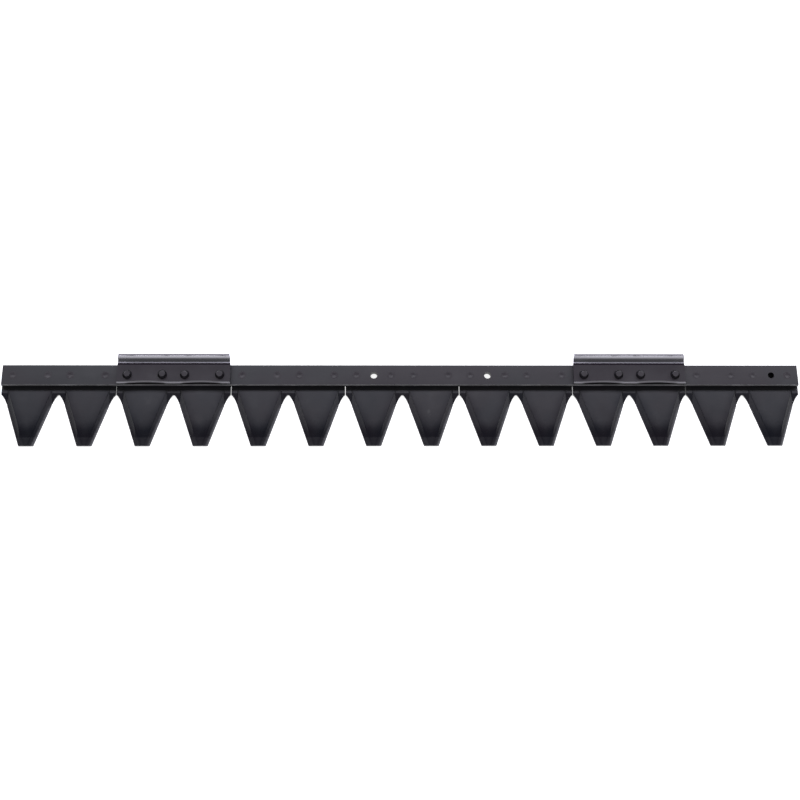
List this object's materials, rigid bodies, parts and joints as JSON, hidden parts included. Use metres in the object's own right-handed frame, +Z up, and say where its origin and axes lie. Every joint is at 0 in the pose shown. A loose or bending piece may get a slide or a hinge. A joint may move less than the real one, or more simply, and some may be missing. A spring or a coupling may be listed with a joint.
{
  "type": "mower blade",
  "caption": "Upper knife of a double-knife mower: a long flat back bar with two-toothed blades riveted under it and two guide plates riveted on top.",
  "frame": {"origin": "mid-length of the knife, under the front edge of the back bar, on the underside of the blades", "axes": "+X along the knife to the right as seen from the teeth's side, teeth point to -Y, +Z up through the back bar and the guide plates"},
  "size_m": [0.9792, 0.1136, 0.016],
  "materials": {
    "bar_paint": "semi-gloss black",
    "blade_paint": "semi-gloss black",
    "guide_steel": "semi-gloss black, bare steel on the turned-up rear edge",
    "rivet_paint": "semi-gloss black"
  },
  "bodies": {
    "root": {"knife_back": "bar_paint", "blade_1": "blade_paint", "blade_2": "blade_paint", "blade_3": "blade_paint", "blade_4": "blade_paint", "blade_5": "blade_paint", "blade_6": "blade_paint", "blade_7": "blade_paint", "guide_plate_left": "guide_steel", "guide_plate_right": "guide_steel", "flush_rivet_1_1": "rivet_paint", "flush_rivet_1_2": "rivet_paint", "flush_rivet_1_3": "rivet_paint", "flush_rivet_1_4": "rivet_paint", "round_rivet_2_1": "rivet_paint", "round_rivet_2_2": "rivet_paint", "round_rivet_2_3": "rivet_paint", "round_rivet_2_4": "rivet_paint", "flush_rivet_3_1": "rivet_paint", "flush_rivet_3_2": "rivet_paint", "flush_rivet_3_3": "rivet_paint", "flush_rivet_3_4": "rivet_paint", "flush_rivet_4_1": "rivet_paint", "flush_rivet_4_2": "rivet_paint", "flush_rivet_4_3": "rivet_paint", "flush_rivet_4_4": "rivet_paint", "flush_rivet_5_1": "rivet_paint", "flush_rivet_5_2": "rivet_paint", "flush_rivet_5_3": "rivet_paint", "flush_rivet_5_4": "rivet_paint", "round_rivet_6_1": "rivet_paint", "round_rivet_6_2": "rivet_paint", "round_rivet_6_3": "rivet_paint", "round_rivet_6_4": "rivet_paint", "flush_rivet_7_1": "rivet_paint", "flush_rivet_7_2": "rivet_paint", "flush_rivet_7_3": "rivet_paint", "flush_rivet_7_4": "rivet_paint"}
  },
  "joints": []
}
